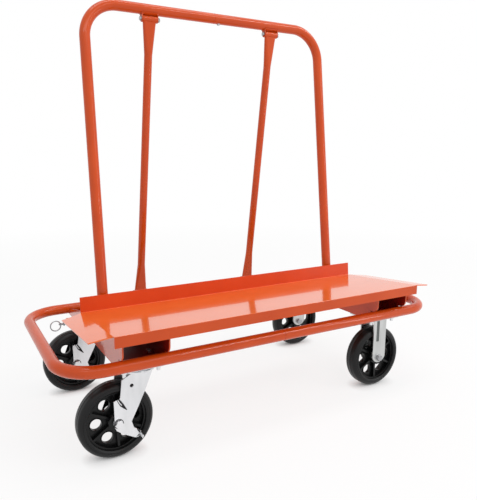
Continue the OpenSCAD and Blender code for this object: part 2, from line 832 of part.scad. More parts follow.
swivel_axle_nut(-1);  // swivel_axle_nut_front
swivel_axle_nut(1);  // swivel_axle_nut_back
brake_pedal(-1);  // brake_pedal_front
brake_pedal(1);  // brake_pedal_back
rigid_fork(-1);  // rigid_fork_front
rigid_fork(1);  // rigid_fork_back
rigid_axles();
rigid_axle_nuts();
wheel_core(-1, -1);  // wheel_core_left_front
wheel_core(-1, 1);  // wheel_core_left_back
wheel_core(1, -1);  // wheel_core_right_front
wheel_core(1, 1);  // wheel_core_right_back
tyre(-1, -1);  // tyre_left_front
tyre(-1, 1);  // tyre_left_back
tyre(1, -1);  // tyre_right_front
tyre(1, 1);  // tyre_right_back
hub_bush(-1, -1);  // hub_bush_left_front
hub_bush(-1, 1);  // hub_bush_left_back
hub_bush(1, -1);  // hub_bush_right_front
hub_bush(1, 1);  // hub_bush_right_back
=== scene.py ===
"""Looks of the drywall cart: bent sheet, soft edges, weld beads, coats, camera and studio light."""

import json
import math

import bmesh
import bpy
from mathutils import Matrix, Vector


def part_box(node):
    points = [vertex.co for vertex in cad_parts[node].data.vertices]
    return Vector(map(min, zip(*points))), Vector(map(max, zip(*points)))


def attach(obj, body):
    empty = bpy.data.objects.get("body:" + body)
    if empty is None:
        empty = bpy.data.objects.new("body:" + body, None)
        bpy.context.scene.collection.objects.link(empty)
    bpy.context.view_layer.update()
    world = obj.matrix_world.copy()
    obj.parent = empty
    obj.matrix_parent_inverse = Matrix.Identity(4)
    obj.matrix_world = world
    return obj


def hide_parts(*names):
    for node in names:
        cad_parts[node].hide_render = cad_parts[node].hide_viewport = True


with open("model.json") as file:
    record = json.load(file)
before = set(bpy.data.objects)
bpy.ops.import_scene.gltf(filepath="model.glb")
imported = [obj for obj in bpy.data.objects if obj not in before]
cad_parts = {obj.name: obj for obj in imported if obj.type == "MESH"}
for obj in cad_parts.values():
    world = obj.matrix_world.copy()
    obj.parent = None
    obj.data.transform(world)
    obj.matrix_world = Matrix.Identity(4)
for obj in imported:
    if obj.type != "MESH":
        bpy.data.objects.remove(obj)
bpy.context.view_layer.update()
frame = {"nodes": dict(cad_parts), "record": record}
nodes = frame["nodes"]
body_of = {n: b for b, ns in frame["record"]["behaviour"]["bodies"].items() for n in ns}
slot_of = {s["node"]: s["material_slot"] for s in frame["record"]["subparts"]}
ENDS = ("front", "back")
SIDES = ("left", "right")

# Sizes of the cart in metres, angles in radians
MM = 0.001
TUBE_R = 15.875 * MM
LOOP_Z = 259.175 * MM
LOOP_FRONT_Y = -261.875 * MM
LOOP_BACK_Y = 280.375 * MM
LOOP_END_X = 619.125 * MM
BEND_R = 102 * MM
CHANNEL_X = 417 * MM
CHANNEL_HALF = 63 * MM
WEB_TOP = 247 * MM
LEG_X = 427.5 * MM
LEG_FOOT_Y = 39.68 * MM
LEG_LEAN = math.radians(6.94)
LEG_LIFT = 2.23 * MM
LEG_L = 963.18 * MM
SOCKET_R = 18.43 * MM
BAR_Y = 156.06 * MM
BAR_Z = 1203.125 * MM
STRUT_X = 223.5 * MM
STRUT_TILT = math.radians(7.9)
SADDLE_HALF = 26.3 * MM
SADDLE_ARC = math.radians(49)
DECK_L = 1007 * MM
DECK_DEPTH = 313 * MM
DECK_TILT = math.radians(5.4)
DECK_BACK = (15.361 * MM, 321.544 * MM)
DECK_WALL = 3 * MM
LEDGE_H = 44 * MM
FLANGE_H = 28.7 * MM
WING_W = 60 * MM
WING_ANGLE = math.radians(6)
WING_FRONT = 303 * MM
WING_MID = (36 * MM, 20 * MM)
WING_BACK = 28 * MM
FOLD_BACK = 1.5 * MM
HOLES = 6
HOLE_RING = 51 * MM
HOLE_R = 15 * MM
HOLE_TURN = {"left": math.radians(4), "right": math.radians(1)}
WEB_HALF = 4 * MM
TYRE_BORE = 78.05 * MM
TYRE_R = 100 * MM
TREAD_R = 99.6 * MM
TYRE_HALF = 24 * MM
SHOULDER = 16 * MM
FORK_FACE = 30.5 * MM
FORK_INSIDE = 26.5 * MM
PEDAL_FACE = 33.8 * MM


# Materials

# Drift of colour and gloss over a surface, and its fine grain
DRIFT_DETAIL = 4.0
DRIFT_RAMP = (0.3, 0.7)
GLOSS_SWING = (0.8, 1.2)
GRAIN_DETAIL = 2.0
GRAIN_DEPTH = 0.4 * MM
EVEN = (1.0, 1.0, 1.0)
DRAWN_OUT = (1.0, 1.0, 0.25)


def srgb(r, g, b):
    """Linear colour of an 8-bit screen colour."""
    def one(v):
        v /= 255
        return v / 12.92 if v <= 0.04045 else ((v + 0.055) / 1.055) ** 2.4
    return (one(r), one(g), one(b), 1.0)


def link(tree, a, out, b, into):
    tree.links.new(a.outputs[out], b.inputs[into])


def material(name, dark, light, rough, metallic=0.0, coat=0.0, coat_rough=0.05, blotch=9.0,
             grain=700.0, bump=0.05, spec=0.5, stretch=EVEN):
    """Principled surface whose colour and roughness drift a little and whose skin has a fine grain."""
    mat = bpy.data.materials.new(name)
    mat.use_nodes = True
    tree = mat.node_tree
    bsdf = tree.nodes["Principled BSDF"]
    bsdf.inputs["Metallic"].default_value = metallic
    bsdf.inputs["Specular IOR Level"].default_value = spec
    bsdf.inputs["Coat Weight"].default_value = coat
    bsdf.inputs["Coat Roughness"].default_value = coat_rough
    where = tree.nodes.new("ShaderNodeTexCoord")
    scale = tree.nodes.new("ShaderNodeMapping")
    scale.inputs["Scale"].default_value = stretch
    link(tree, where, "Object", scale, "Vector")
    drift = tree.nodes.new("ShaderNodeTexNoise")
    drift.inputs["Scale"].default_value = blotch
    drift.inputs["Detail"].default_value = DRIFT_DETAIL
    link(tree, scale, "Vector", drift, "Vector")
    tint = tree.nodes.new("ShaderNodeValToRGB")
    for stop, position, colour in zip(tint.color_ramp.elements, DRIFT_RAMP, (dark, light)):
        stop.position = position
        stop.color = colour
    link(tree, drift, "Fac", tint, "Fac")
    link(tree, tint, "Color", bsdf, "Base Color")
    sheen = tree.nodes.new("ShaderNodeMapRange")
    sheen.inputs["To Min"].default_value = rough * GLOSS_SWING[0]
    sheen.inputs["To Max"].default_value = rough * GLOSS_SWING[1]
    link(tree, drift, "Fac", sheen, "Value")
    link(tree, sheen, "Result", bsdf, "Roughness")
    fine = tree.nodes.new("ShaderNodeTexNoise")
    fine.inputs["Scale"].default_value = grain
    fine.inputs["Detail"].default_value = GRAIN_DETAIL
    link(tree, scale, "Vector", fine, "Vector")
    skin = tree.nodes.new("ShaderNodeBump")
    skin.inputs["Strength"].default_value = bump
    skin.inputs["Distance"].default_value = GRAIN_DEPTH
    link(tree, fine, "Fac", skin, "Height")
    link(tree, skin, "Normal", bsdf, "Normal")
    return mat


ORANGE_DARK = srgb(198, 70, 14)
ORANGE_LIGHT = srgb(207, 77, 19)
# Painted shade: a darker copy of the orange for the faces inside the cross-member channels
INNER_SHADE_DARK = srgb(128, 20, 8)
INNER_SHADE_LIGHT = srgb(146, 26, 11)
# Painted light: lighter copies of the orange for the deck's top and for its ledge, which are one sheet with
# the flange
LEDGE_LIT_DARK = srgb(213, 70, 20)
LEDGE_LIT_LIGHT = srgb(220, 76, 25)
DECK_LIT_DARK = srgb(229, 103, 38)
DECK_LIT_LIGHT = srgb(237, 110, 44)
tube_coat = material("orange_coat", ORANGE_DARK, ORANGE_LIGHT, 0.3, coat=0.46, coat_rough=0.03,
                     grain=520.0, bump=0.012, spec=0.12)
ledge_painted_light = material("orange_ledge_painted_light", LEDGE_LIT_DARK, LEDGE_LIT_LIGHT, 0.3, bump=0.02, spec=0.3)
sheet_coat = material("orange_sheet", ORANGE_DARK, ORANGE_LIGHT, 0.2, coat=0.6, bump=0.015, spec=0.15)
inner_painted_shade = material("orange_inner_painted_shade", INNER_SHADE_DARK, INNER_SHADE_LIGHT, 0.4, bump=0.03, spec=0.2)
deck_painted_light = material("orange_deck_painted_light", DECK_LIT_DARK, DECK_LIT_LIGHT, 0.15, coat=0.58, coat_rough=0.015,
                     bump=0.004, spec=0.18)
zinc = material("zinc_plate", srgb(222, 223, 225), srgb(242, 242, 244), 0.34, metallic=1.0, blotch=30.0,
                grain=900.0, stretch=DRAWN_OUT)
# Painted shade: a darker copy of the zinc for the rigid forks
rigid_zinc_painted_shade = material("zinc_rigid_painted_shade", srgb(190, 191, 190), srgb(212, 213, 212), 0.38, metallic=1.0,
                      blotch=30.0, grain=900.0, stretch=DRAWN_OUT)
groove_painted_shade = material("zinc_groove_painted_shade", srgb(92, 96, 95), srgb(118, 122, 121), 0.45, metallic=1.0, blotch=40.0)
steel = material("bush_steel", srgb(150, 150, 152), srgb(185, 185, 188), 0.32, metallic=1.0, blotch=60.0)
core = material("core_black", srgb(8, 8, 9), srgb(13, 13, 14), 0.36, blotch=30.0, bump=0.06, spec=0.3)
rubber = material("tyre_rubber", srgb(10, 10, 11), srgb(16, 16, 17), 0.4, blotch=25.0, grain=900.0,
                  bump=0.08, spec=0.3)
LOOK = {"orange_coat": tube_coat, "zinc_plate": zinc, "core_black": core, "tyre_rubber": rubber,
        "bush_steel": steel}

for name, obj in nodes.items():
    for s in obj.material_slots:
        s.material = steel if name.startswith("lock_ring") else LOOK[slot_of[name]]


# Making pieces

MERGE_DIST = 0.002 * MM
FLAT_ANGLE = math.radians(0.2)
EDGE_ANGLE = math.radians(32)
EDGE_STEPS = 2
FLAT_WEIGHT = 100


def piece(name, mesh, body, slot, mat=None, stands_for=None):
    """Puts a mesh in the scene as a piece of a body."""
    obj = bpy.data.objects.new(name, mesh)
    bpy.context.scene.collection.objects.link(obj)
    mesh.materials.clear()
    mesh.materials.append(mat or LOOK[slot])
    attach(obj, body)
    if stands_for:
        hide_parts(stands_for)
    return obj


def shaped(bm, name, sharp, body, slot, mat=None, stands_for=None):
    """Piece with smooth faces, whose corners over an angle in degrees stay sharp."""
    bmesh.ops.recalc_face_normals(bm, faces=bm.faces)
    for f in bm.faces:
        f.smooth = True
    mesh = bpy.data.meshes.new(name)
    bm.to_mesh(mesh)
    bm.free()
    mesh.set_sharp_from_angle(angle=math.radians(sharp))
    return piece(name, mesh, body, slot, mat, stands_for)


def bevel(obj, name, width, segments, angle):
    """Rolls over the edges that turn by more than an angle."""
    roll = obj.modifiers.new(name, "BEVEL")
    roll.width = width
    roll.segments = segments
    roll.limit_method = "ANGLE"
    roll.angle_limit = angle


def soften(node, width, mat=None):
    """Copy of a CAD node with its sharp edges rolled over and its large faces flat; width in millimetres."""
    mesh = nodes[node].data.copy()
    bm = bmesh.new()
    bm.from_mesh(mesh)
    bmesh.ops.remove_doubles(bm, verts=bm.verts, dist=MERGE_DIST)
    bmesh.ops.dissolve_limit(bm, angle_limit=FLAT_ANGLE, verts=bm.verts, edges=bm.edges)
    for f in bm.faces:
        f.smooth = True
    for e in bm.edges:
        e.smooth = True
    bm.to_mesh(mesh)
    bm.free()
    obj = piece(node + "_soft", mesh, body_of[node], slot_of[node], mat, node)
    bevel(obj, "edges", width * MM, EDGE_STEPS, EDGE_ANGLE)
    flat = obj.modifiers.new("flat", "WEIGHTED_NORMAL")
    flat.weight = FLAT_WEIGHT
    flat.keep_sharp = True
    return obj


def lathe(bm, profile, centre, steps):
    """Closed ring round the Y axis; the profile is a loop of (radius, place along Y)."""
    rings = []
    for i in range(steps):
        a = 2 * math.pi * i / steps
        rings.append([bm.verts.new((centre[0] + r * math.cos(a), centre[1] + y, centre[2] + r * math.sin(a)))
                      for r, y in profile])
    n = len(profile)
    for i in range(steps):
        near, far = rings[i], rings[(i + 1) % steps]
        for k in range(n):
            bm.faces.new((near[k], near[(k + 1) % n], far[(k + 1) % n], far[k]))


# Deck: one sheet with bent ledge, front flange and wings

FOLD_R = 2.5 * MM
FOLD_STEPS = 8
FOLD_ANGLE = math.radians(30)
RIM_R = 0.6 * MM
RIM_STEPS = 2
RIM_ANGLE = math.radians(40)
LYING = 0.5
TOP_PAINTED_LIGHT, LEDGE_PAINTED_LIGHT, FLANGE_LOOK = 0, 1, 2


def on_deck(x, y, z=0.0):
    """Point given along the cart, back from the ledge's foot and square off the tilted deck."""
    c, s = math.cos(DECK_TILT), math.sin(DECK_TILT)
    return (x, DECK_BACK[0] + y * c + z * s, DECK_BACK[1] - y * s + z * c)


def deck_sheet():
    bm = bmesh.new()
    rows = {}
    for side in (-1, 1):
        x = side * DECK_L / 2
        front = Vector(on_deck(x, -DECK_DEPTH))
        low = front - Vector((0, 0, FLANGE_H))
        rows[side] = [bm.verts.new(p) for p in (on_deck(x, 0, LEDGE_H), on_deck(x, 0), on_deck(x, -FOLD_BACK),
                                                on_deck(x, -WING_FRONT), front, low)]
    a, b = rows[-1], rows[1]
    bm.faces.new((a[0], a[1], b[1], b[0]))
    bm.faces.new((a[1], a[2], a[3], a[4], b[4], b[3], b[2], b[1]))
    bm.faces.new((a[4], a[5], b[5], b[4]))
    reach, drop = math.cos(WING_ANGLE), math.sin(WING_ANGLE)
    for side in (-1, 1):
        x = side * DECK_L / 2
        out = [bm.verts.new(on_deck(x + side * u * reach, -v, -u * drop))
               for u, v in (WING_MID, (WING_W, WING_BACK), (WING_W, WING_FRONT))]
        loop = (rows[side][2], *out, rows[side][3])
        bm.faces.new(loop if side > 0 else loop[::-1])
    bmesh.ops.recalc_face_normals(bm, faces=bm.faces)
    if sum(f.normal.z for f in bm.faces) < 0:
        bmesh.ops.reverse_faces(bm, faces=bm.faces)
    mesh = bpy.data.meshes.new("deck_sheet")
    bm.to_mesh(mesh)
    bm.free()
    obj = piece("deck_sheet", mesh, "base", "orange_coat", deck_painted_light, "deck")
    mesh.materials.append(ledge_painted_light)
    mesh.materials.append(tube_coat)
    # Painted light: the top takes the lightest copy of the orange, the ledge a lighter one, the flange the
    # plain coat
    for f in mesh.polygons:
        standing = LEDGE_PAINTED_LIGHT if f.center.y > 0 else FLANGE_LOOK
        f.material_index = TOP_PAINTED_LIGHT if f.normal.z > LYING else standing
    bevel(obj, "bends", FOLD_R, FOLD_STEPS, FOLD_ANGLE)
    wall = obj.modifiers.new("wall", "SOLIDIFY")
    wall.thickness = DECK_WALL
    wall.offset = -1.0
    wall.use_even_offset = True
    bevel(obj, "rim", RIM_R, RIM_STEPS, RIM_ANGLE)


deck_sheet()


# Bent frame tubes

TUBE_CHAMFER = 1.2 * MM
TUBE_SIDES = 48
TUBE_SHARP = 35
BEND_STEPS = 28


def arc(centre, u, v, start, stop):
    """Points on a bend of the frame tube, from one angle to the other, the first left out."""
    turns = [math.radians(start + (stop - start) * i / BEND_STEPS) for i in range(1, BEND_STEPS + 1)]
    return [centre + BEND_R * (math.cos(t) * u + math.sin(t) * v) for t in turns]


def tube(name, path, square, stands_for):
    """Round tube along a path that lies square to a direction, closed at its broken-edged ends."""
    first = path[0] + TUBE_CHAMFER * (path[1] - path[0]).normalized()
    last = path[-1] + TUBE_CHAMFER * (path[-2] - path[-1]).normalized()
    path = [path[0], first, *path[1:-1], last, path[-1]]
    bm = bmesh.new()
    rings = []
    for i, p in enumerate(path):
        along = (path[min(i + 1, len(path) - 1)] - path[max(i - 1, 0)]).normalized()
        across = square.cross(along)
        r = TUBE_R - TUBE_CHAMFER if i in (0, len(path) - 1) else TUBE_R
        rings.append([bm.verts.new(p + r * (math.cos(t) * across + math.sin(t) * square))
                      for t in (2 * math.pi * (k + 0.5) / TUBE_SIDES for k in range(TUBE_SIDES))])
    for near, far in zip(rings, rings[1:]):
        for k in range(TUBE_SIDES):
            bm.faces.new((near[k], near[(k + 1) % TUBE_SIDES], far[(k + 1) % TUBE_SIDES], far[k]))
    bm.faces.new(rings[0])
    bm.faces.new(rings[-1])
    shaped(bm, name, TUBE_SHARP, "base", "orange_coat", stands_for=stands_for)


def frame_tubes():
    ahead, up = Vector((0, 1, 0)), Vector((0, 0, 1))
    rise = Vector((0, math.sin(LEG_LEAN), math.cos(LEG_LEAN)))
    square = Vector((0, math.cos(LEG_LEAN), -math.sin(LEG_LEAN)))
    foot = Vector((0, LEG_FOOT_Y, WEB_TOP))
    for s, side in ((-1, "left"), (1, "right")):
        out = Vector((s, 0, 0))
        front = LOOP_FRONT_Y * ahead + LOOP_Z * up
        back = LOOP_BACK_Y * ahead + LOOP_Z * up
        turn = (LOOP_END_X - BEND_R) * out
        path = [front, front + turn, *arc(front + turn + BEND_R * ahead, out, ahead, -90, 0)]
        path += [back + turn - BEND_R * ahead + BEND_R * out]
        path += [*arc(back + turn - BEND_R * ahead, out, ahead, 0, 90), back]
        tube("loop_tube_" + side, path, up, "loop_" + side)
        leg = foot + LEG_X * out
        path = [leg + LEG_LIFT * rise, leg + (LEG_L - BEND_R) * rise]
        path += [*arc(leg + (LEG_L - BEND_R) * rise - BEND_R * out, out, rise, 0, 90), foot + LEG_L * rise]
        tube("upright_tube_" + side, path, square, "upright_" + side)


frame_tubes()


# Sheet metal and hardware with softened edges

# Node, width of its rolled edges in millimetres, look
SOFT_BY_END = (("swivel_fork_", 0.8, zinc), ("rigid_fork_", 0.8, rigid_zinc_painted_shade), ("brake_pedal_", 0.7, zinc),
               ("swivel_plate_", 0.8, zinc), ("swivel_axle_", 0.7, zinc), ("swivel_axle_nut_", 0.7, zinc),
               ("lock_plunger_", 0.5, steel), ("lock_barrel_", 0.6, zinc))
SOFT_BY_SIDE = (("leg_socket_", 0.6), ("top_bracket_", 0.5), ("foot_bracket_", 0.5))
SOFT_BOLTS = (("rigid_axles", steel), ("strut_bolts", steel), ("strut_nuts", steel),
              ("sleeve_screw", steel), ("rigid_axle_nuts", zinc), ("caster_bolts", zinc),
              ("caster_nuts", zinc), ("socket_bolts", zinc))
CHANNEL_EDGE = 0.9
WHEEL_EDGE = 0.9
BOLT_EDGE = 0.6
SQUARE_ON = 0.9
INNER_SHADE_LOOK = 1


def paint_channel_shade(channel, middle_x):
    """Gives the faces that look into a channel a darker copy of the orange, as painted shade."""
    channel.data.materials.append(inner_painted_shade)
    for f in channel.data.polygons:
        inward = (middle_x - f.center.x) * f.normal.x > SQUARE_ON * abs(middle_x - f.center.x)
        if abs(f.center.x - middle_x) < CHANNEL_HALF and (f.normal.z > SQUARE_ON or inward):
            f.material_index = INNER_SHADE_LOOK


for end in ENDS:
    for node, width, look in SOFT_BY_END:
        soften(node + end, width, look)
for s, side in ((-1, "left"), (1, "right")):
    paint_channel_shade(soften("cross_member_" + side, CHANNEL_EDGE, sheet_coat), s * CHANNEL_X)
    for node, width in SOFT_BY_SIDE:
        soften(node + side, width)
    for end in ENDS:
        soften(f"wheel_core_{side}_{end}", WHEEL_EDGE)
for node, look in SOFT_BOLTS:
    soften(node, BOLT_EDGE, look)


# Tyres with bead step, sidewall groove and mould line, and collars round the holes of the cores

# Bead in millimetres: radius past the bore, depth in from the side
TYRE_BEAD = ((0.0, 3.4), (0.8, 2.4), (2.6, 1.9), (3.6, 0.5), (4.8, 0.0))
# Groove in millimetres: radius, dip
TYRE_GROOVE = ((85.2, 0.1), (85.8, 0.8), (86.8, 0.8), (87.4, 0.1))
# Radii out over the shoulder, in millimetres
TYRE_WALL = (89, 91, 93, 95, 96.5, 97.7, 98.6, 99.2)
TREAD_EDGE = 3.2 * MM
MOULD_FOOT, MOULD_TOP = 1.0 * MM, 0.3 * MM
TYRE_STEPS = 128
# Collar in millimetres: radius past the hole, height
COLLAR = ((0.1, 0.0), (0.1, 1.6), (0.7, 2.3), (1.8, 2.3), (2.5, 1.5), (2.9, 0.0))
COLLAR_SINK = 0.3 * MM
COLLAR_STEPS = 32
WHEEL_SHARP = 50


def middle(node):
    """Middle of a CAD node's box."""
    low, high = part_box(node)
    return [(p + q) / 2 for p, q in zip(low, high)]


def tyre_profile():
    def wall(r):
        return TYRE_HALF - SHOULDER + math.sqrt(SHOULDER ** 2 - (r - TYRE_R + SHOULDER) ** 2)
    half = [(TYRE_BORE + r * MM, TYRE_HALF - y * MM) for r, y in TYRE_BEAD]
    half += [(r * MM, wall(r * MM) - dip * MM) for r, dip in TYRE_GROOVE]
    half += [(r * MM, wall(r * MM)) for r in TYRE_WALL]
    half += [(TREAD_R, TYRE_HALF - SHOULDER + TREAD_EDGE), (TREAD_R, MOULD_FOOT), (TYRE_R, MOULD_TOP)]
    return half + [(r, -y) for r, y in reversed(half)]


for side in SIDES:
    for end in ENDS:
        wheel = f"{side}_{end}"
        hub = middle("tyre_" + wheel)
        bm = bmesh.new()
        lathe(bm, tyre_profile(), hub, TYRE_STEPS)
        shaped(bm, "tyre_rubber_" + wheel, WHEEL_SHARP, "wheel_" + wheel, "tyre_rubber",
               stands_for="tyre_" + wheel)
        bm = bmesh.new()
        for k in range(HOLES):
            a = HOLE_TURN[side] + k * 2 * math.pi / HOLES
            for face in (-1, 1):
                spot = (hub[0] + HOLE_RING * math.cos(a), hub[1] + face * (WEB_HALF - COLLAR_SINK),
                        hub[2] + HOLE_RING * math.sin(a))
                lathe(bm, [(HOLE_R + r * MM, face * y * MM) for r, y in COLLAR], spot, COLLAR_STEPS)
        shaped(bm, "hole_collars_" + wheel, WHEEL_SHARP, "wheel_" + wheel, "core_black")


# Zinc leaves on the pedals, and painted shade: black strips in the gaps between pedals and forks, dark rings
# under the swivel axles' heads, black plates inside the swivel forks' far legs, dark sheets in the fork
# grooves

# Outlines in millimetres along X and Z from the axle
# Painted shade: a black strip in the gap between the pedal's top edge and the fork
PEDAL_GAP_SHADE = ((-4.2, 63.0), (4.6, 46.0), (10.5, 40.5), (21.3, 31.6), (22.6, 33.0), (12.8, 51.2), (2.4, 65.6))
PEDAL_GAP_SHADE_SINK = 0.6 * MM
PEDAL_GAP_SHADE_CLEAR = 0.3 * MM
LEAF = ((-2.6, 63.4), (-0.8, 64.6), (4.4, 55.2), (9.2, 48.4), (7.6, 47.4), (2.6, 54.0))
LEAF_OUT = 0.4 * MM
LEAF_SINK = 0.8 * MM
# Dark ring of painted shade under the swivel axle's head, in millimetres: radius, place along Y
AXLE_SHADE_RING = ((11.0, 0.2), (12.2, 0.2), (12.6, 0.7), (12.2, 1.4), (11.0, 1.4))
AXLE_SHADE_RING_OUT = 1.6 * MM
AXLE_SHADE_RING_STEPS = 48
AXLE_SHADE_RING_SHARP = 40
# Black plate of painted shade round the axle, inside the swivel fork's far leg: inner and outer radius in
# millimetres, and its angles in degrees
SHADE_PLATE_R = (27, 74)
SHADE_PLATE_FROM, SHADE_PLATE_ARC, SHADE_PLATE_TO = -20, 92, 150
SHADE_PLATE_TIP = 30.8
SHADE_PLATE_STEPS = (40, 30)
# How far the plate's two faces lie in from the fork's leg
SHADE_PLATE_IN = (2.1 * MM, 0.1 * MM)
# Outline of the painted shade in the fork grooves, in millimetres along X from the axle and up from the floor
GROOVE = ((-14.6, 157.4), (-14.6, 232.6), (-3.4, 232.6), (-3.4, 157.4))
GROOVE_DEPTH = 3 * MM
GROOVE_SHADE_THICK = 2.4 * MM
PLATE_SHARP = 30


def slab(bm, outline, centre, low, high):
    """Flat plate square to Y with an outline round a centre, in millimetres."""
    rims = [[bm.verts.new((centre[0] + x * MM, y, centre[2] + z * MM)) for x, z in outline]
            for y in (low, high)]
    n = len(outline)
    for k in range(n):
        bm.faces.new((rims[0][k], rims[0][(k + 1) % n], rims[1][(k + 1) % n], rims[1][k]))
    for rim in rims:
        bm.faces.new(rim)


def spoke(radius, degrees):
    """Point round an axle, in millimetres, from a radius and an angle that runs from +X up to +Z."""
    return (radius * math.cos(math.radians(degrees)), radius * math.sin(math.radians(degrees)))


def sweep(radius, start, stop, steps):
    """Points on an arc round an axle, both ends included."""
    return [spoke(radius, start + (stop - start) * i / steps) for i in range(steps + 1)]


def shade_plate_outline():
    outer = sweep(SHADE_PLATE_R[1], SHADE_PLATE_FROM, SHADE_PLATE_ARC, SHADE_PLATE_STEPS[0])
    inner = sweep(SHADE_PLATE_R[0], SHADE_PLATE_TO, SHADE_PLATE_FROM, SHADE_PLATE_STEPS[1])
    return outer + [spoke(SHADE_PLATE_TIP, SHADE_PLATE_TO)] + inner


for end in ENDS:
    hub = middle("tyre_left_" + end)
    # Painted shade: a black plate on the inside of the far fork leg, seen dark through the core's holes
    bm = bmesh.new()
    slab(bm, shade_plate_outline(), hub, *(hub[1] + FORK_INSIDE - d for d in SHADE_PLATE_IN))
    shaped(bm, "wheel_shade_plate_" + end, PLATE_SHARP, "swivel_" + end, "core_black")
    rigid = middle("tyre_right_" + end)
    # Painted shade: a dark zinc sheet that fills each fork groove to just under the fork's face
    bm = bmesh.new()
    for face in (-1, 1):
        groove_y = rigid[1] + face * (FORK_FACE - GROOVE_DEPTH)
        slab(bm, GROOVE, (rigid[0], 0, 0), groove_y, groove_y + face * GROOVE_SHADE_THICK)
    shaped(bm, "fork_groove_painted_shade_" + end, PLATE_SHARP, "base", "zinc_plate", groove_painted_shade)
    # Painted shade: black strip in the gap between pedal and fork
    bm = bmesh.new()
    slab(bm, PEDAL_GAP_SHADE, hub, hub[1] - PEDAL_FACE + PEDAL_GAP_SHADE_SINK, hub[1] - FORK_FACE - PEDAL_GAP_SHADE_CLEAR)
    shaped(bm, "pedal_gap_shade_" + end, PLATE_SHARP, "pedal_" + end, "core_black")
    bm = bmesh.new()
    slab(bm, LEAF, hub, hub[1] - PEDAL_FACE - LEAF_OUT, hub[1] - PEDAL_FACE + LEAF_SINK)
    shaped(bm, "brake_leaf_" + end, PLATE_SHARP, "pedal_" + end, "zinc_plate")
    # Painted shade: a dark ring under the axle's head
    bm = bmesh.new()
    lathe(bm, [(r * MM, y * MM) for r, y in AXLE_SHADE_RING], (hub[0], hub[1] - PEDAL_FACE - AXLE_SHADE_RING_OUT, hub[2]),
          AXLE_SHADE_RING_STEPS)
    shaped(bm, "axle_shade_ring_" + end, AXLE_SHADE_RING_SHARP, "swivel_" + end, "core_black")


# Weld beads

BEAD_SIDES = 8
BEAD_TAPER = 0.5
BEAD_SHARP = 60
RIPPLE = 0.14
RIPPLE_TURN = 0.66
# Radius of a bead, how far its line stands off the metal, its arc in radians, its points
SOCKET_BEAD, SOCKET_OFF, SOCKET_STEPS = 1.9 * MM, (0.6 * MM, 0.7 * MM, 0.6 * MM), 72
SADDLE_BEAD, SADDLE_OFF, SADDLE_STEPS = 1.2 * MM, 0.5 * MM, 26
FOOT_BEAD, FOOT_OFF, FOOT_ARC, FOOT_STEPS = 1.1 * MM, 0.2 * MM, 0.45, 15
CHANNEL_BEAD, CHANNEL_OFF, CHANNEL_RISE = 1.3 * MM, 0.6 * MM, 0.3 * MM
CHANNEL_FRONT_ARC, CHANNEL_FRONT_STEPS = (-0.9, 1.0), 30
CHANNEL_BACK_ARC, CHANNEL_BACK_STEPS = (math.pi - 0.2, math.pi + 0.9), 20


def bead(bm, points, radius, closed=False):
    """Rippled weld along a line of points."""
    points = [Vector(p) for p in points]
    n = len(points)
    rings = []
    for i, p in enumerate(points):
        ahead = points[(i + 1) % n] if closed or i + 1 < n else p
        behind = points[i - 1] if closed or i else p
        along = (ahead - behind).normalized()
        side = along.orthogonal().normalized()
        up = along.cross(side)
        swell = radius * (1.0 + RIPPLE * math.cos(i * math.pi * RIPPLE_TURN))
        if not closed and i in (0, n - 1):
            swell *= BEAD_TAPER
        rings.append([bm.verts.new(p + swell * (math.cos(t) * side + math.sin(t) * up))
                      for t in (2 * math.pi * k / BEAD_SIDES for k in range(BEAD_SIDES))])
    for i in range(n if closed else n - 1):
        near, far = rings[i], rings[(i + 1) % n]
        for k in range(BEAD_SIDES):
            bm.faces.new((near[k], near[(k + 1) % BEAD_SIDES], far[(k + 1) % BEAD_SIDES], far[k]))
    if not closed:
        bm.faces.new(rings[0])
        bm.faces.new(rings[-1][::-1])


def round_x(x, y, z, radius, start, stop, count):
    """Points on an arc round an X axis; angles run from +Y up to +Z."""
    return [(x, y + radius * math.cos(t), z + radius * math.sin(t))
            for t in (start + (stop - start) * i / (count - 1) for i in range(count))]


def welds():
    bm = bmesh.new()
    down = -math.pi / 2 - LEG_LEAN
    up = math.pi / 2 - STRUT_TILT
    for s in (-1, 1):
        ring = [(s * LEG_X + (SOCKET_R + SOCKET_OFF[0]) * math.cos(t),
                 LEG_FOOT_Y + (SOCKET_R + SOCKET_OFF[1]) * math.sin(t), WEB_TOP + SOCKET_OFF[2])
                for t in (2 * math.pi * i / SOCKET_STEPS for i in range(SOCKET_STEPS))]
        bead(bm, ring, SOCKET_BEAD, True)
        for j in (-1, 1):
            x = s * STRUT_X + j * (SADDLE_HALF + SADDLE_OFF)
            bead(bm, round_x(x, BAR_Y, BAR_Z, TUBE_R + SADDLE_OFF, down - SADDLE_ARC, down + SADDLE_ARC,
                             SADDLE_STEPS), SADDLE_BEAD)
            bead(bm, round_x(x, LOOP_BACK_Y, LOOP_Z, TUBE_R + FOOT_OFF, up - FOOT_ARC, up + FOOT_ARC,
                             FOOT_STEPS), FOOT_BEAD)
            x = s * CHANNEL_X + j * CHANNEL_HALF + j * CHANNEL_OFF
            bead(bm, round_x(x, LOOP_FRONT_Y, LOOP_Z, TUBE_R + CHANNEL_RISE, *CHANNEL_FRONT_ARC,
                             CHANNEL_FRONT_STEPS), CHANNEL_BEAD)
            bead(bm, round_x(x, LOOP_BACK_Y, LOOP_Z, TUBE_R + CHANNEL_RISE, *CHANNEL_BACK_ARC,
                             CHANNEL_BACK_STEPS), CHANNEL_BEAD)
    shaped(bm, "weld_beads", BEAD_SHARP, "base", "orange_coat")


welds()


# Camera

